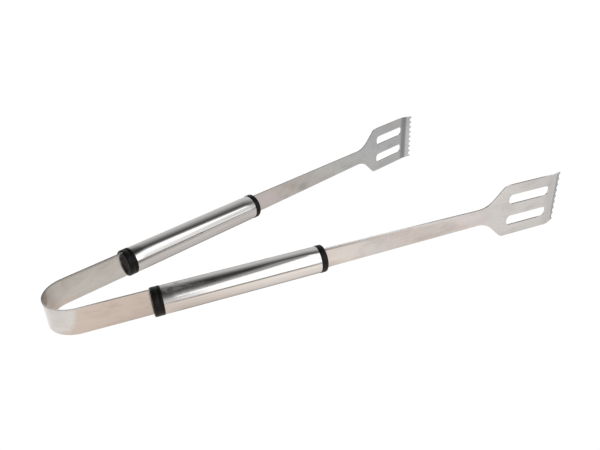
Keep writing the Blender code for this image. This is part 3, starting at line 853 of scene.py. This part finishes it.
def make_floor():
    """A plane that touches the bow's lowest corner and slopes down towards the heads."""
    rise = bow_low[2] / (REST_X - bow_low[0])
    shape = bmesh.new()
    bmesh.ops.create_grid(shape, x_segments=8, y_segments=8, size=FLOOR_SIZE)
    for vertex in shape.verts:
        vertex.co.z = rise * (REST_X - vertex.co.x) - FLOOR_DROP
    mesh = bpy.data.meshes.new("floor")
    shape.to_mesh(mesh)
    shape.free()
    mesh.materials.append(floor_material())
    return link_mesh("floor", mesh)


floor = make_floor()

# --- the sky ----------------------------------------------------------------------------------
# The first two are (degrees above the horizon, radiance), the third is (lean, radiance).
SKY_TOP = 1.25
BEFORE = ((0.0, 0.35), (2.0, 0.45), (5.0, 0.95), (12.0, 1.00), (24.0, 0.90), (36.0, 0.50), (48.0, 0.20),
          (60.0, 0.13), (70.0, 0.10), (90.0, 0.10))
BEHIND_LOW = ((0.0, 0.92), (4.0, 0.90), (12.0, 0.82), (20.0, 0.60), (30.0, 0.25), (40.0, 0.0), (90.0, 0.0))
BEHIND_HIGH = ((0.0, 0.0), (0.4, 0.06), (0.5, 0.09), (0.6, 0.13), (0.7, 0.20), (0.8, 0.34), (0.9, 0.46),
               (1.0, 0.58), (1.1, 0.74), (1.15, 0.80), (1.22, 0.86), (1.3, 0.88), (1.4, 0.84), (1.6, 0.80))
LEAN_TOP = 1.6
LEAN = (1.2 / LEAN_TOP, 1 / LEAN_TOP, 0)


def by_height(sky, height, stops):
    """A radiance that follows the height above the horizon."""
    rises = [(math.sin(math.radians(at)), level / SKY_TOP) for at, level in stops]
    return sky.ramp(height, rises)


def make_sky():
    """A studio's reflections: a bright band in front and behind, and dark above; plain white if seen."""
    world = bpy.data.worlds.new("studio")
    bpy.context.scene.world = world
    world.use_nodes = True
    sky = Nodes(world.node_tree)
    direction = sky.add("ShaderNodeTexCoord").outputs["Generated"]
    split = sky.add("ShaderNodeSeparateXYZ", {0: direction})
    depth, height = split.outputs["Y"], split.outputs["Z"]
    behind = sky.spread(depth, -0.3, 0.3)
    low = sky.blend(behind, by_height(sky, height, BEFORE), by_height(sky, height, BEHIND_LOW))
    lean = sky.vector("DOT_PRODUCT", direction, LEAN).outputs["Value"]
    high = sky.ramp(lean, [(at, level / SKY_TOP) for at, level in BEHIND_HIGH], 0.0, LEAN_TOP)
    seen = sky.add("ShaderNodeLightPath").outputs["Is Camera Ray"]
    white = rgb(1 / SKY_TOP, 1 / SKY_TOP, 1 / SKY_TOP)
    background = sky.tree.nodes["Background"]
    sky.feed(background.inputs["Color"], sky.blend(seen, sky.blend(1.0, low, high, "LIGHTEN"), white))
    background.inputs["Strength"].default_value = SKY_TOP


make_sky()

# --- the lamps --------------------------------------------------------------------------------
def area_light(name, centre, across, down, width, height, radiance):
    """A soft box from its middle and its two side directions; it shines along across x down."""
    data = bpy.data.lights.new(name, "AREA")
    data.shape = "RECTANGLE"
    data.size = width
    data.size_y = height
    data.energy = radiance * width * height * math.pi       # a flat panel of this radiance
    lamp = bpy.data.objects.new(name, data)
    across = Vector(across).normalized()
    down = Vector(down).normalized()
    matrix = Matrix.Identity(4)
    for column, vector in enumerate((across, -down, across.cross(-down), Vector(centre))):
        matrix.col[column][:3] = vector
    lamp.matrix_world = matrix
    lamp.visible_camera = False
    bpy.context.scene.collection.objects.link(lamp)


# The soft boxes hang level above the tongs, all measured from one corner.
DOWN = Vector((-0.458, -0.889, 0))
ACROSS = Vector((0.889, -0.458, 0))
CORNER = Vector((0.14, -0.10, 0.52))
area_light("soft_box", CORNER + DOWN * 0.425 + ACROSS * 0.21, ACROSS, DOWN, 0.42, 0.85, 1.65)
area_light("soft_box_side", CORNER + DOWN * 0.5 + ACROSS * 0.61, ACROSS, DOWN, 0.38, 1.0, 0.6)
area_light("soft_box_rim", CORNER + DOWN * 0.21 + ACROSS * 0.145, ACROSS, DOWN, 0.45, 0.52, 0.42)
area_light("soft_box_glow", CORNER + DOWN * 0.26 + ACROSS * 0.11, ACROSS, DOWN, 0.44, 0.72, 0.14)
area_light("front_panel", (0.115, -1.0, 0.30), (1, 0, 0), (0, 0, -1), 0.57, 0.5, 1.0)
area_light("front_panel_side", (0.795, -1.0, 0.30), (1, 0, 0), (0, 0, -1), 0.79, 0.5, 0.35)

# --- the camera -------------------------------------------------------------------------------
FROM_BOW = Vector((-38.144, -350.301, 231.619)) * MM
YAW_PITCH_ROLL = (31.714, -29.431, -2.711)
LENS = 34.88802

eye = BOW_CENTRE + FROM_BOW
yaw, pitch, roll = (math.radians(degrees) for degrees in YAW_PITCH_ROLL)
forward = Vector((math.sin(yaw) * math.cos(pitch), math.cos(yaw) * math.cos(pitch), math.sin(pitch)))
level = Vector((math.cos(yaw), -math.sin(yaw), 0))
above = level.cross(forward)
right = math.cos(roll) * level + math.sin(roll) * above
up = -math.sin(roll) * level + math.cos(roll) * above
data = bpy.data.cameras.new("camera")
data.sensor_width = 36
data.sensor_fit = "HORIZONTAL"
data.lens = LENS
data.clip_start = 0.01
camera = bpy.data.objects.new("camera", data)
matrix = Matrix.Identity(4)
for column, vector in enumerate((right, up, -forward, eye)):
    matrix.col[column][:3] = vector
camera.matrix_world = matrix
bpy.context.scene.collection.objects.link(camera)
bpy.context.scene.camera = camera
bpy.context.scene.view_settings.view_transform = "Standard"
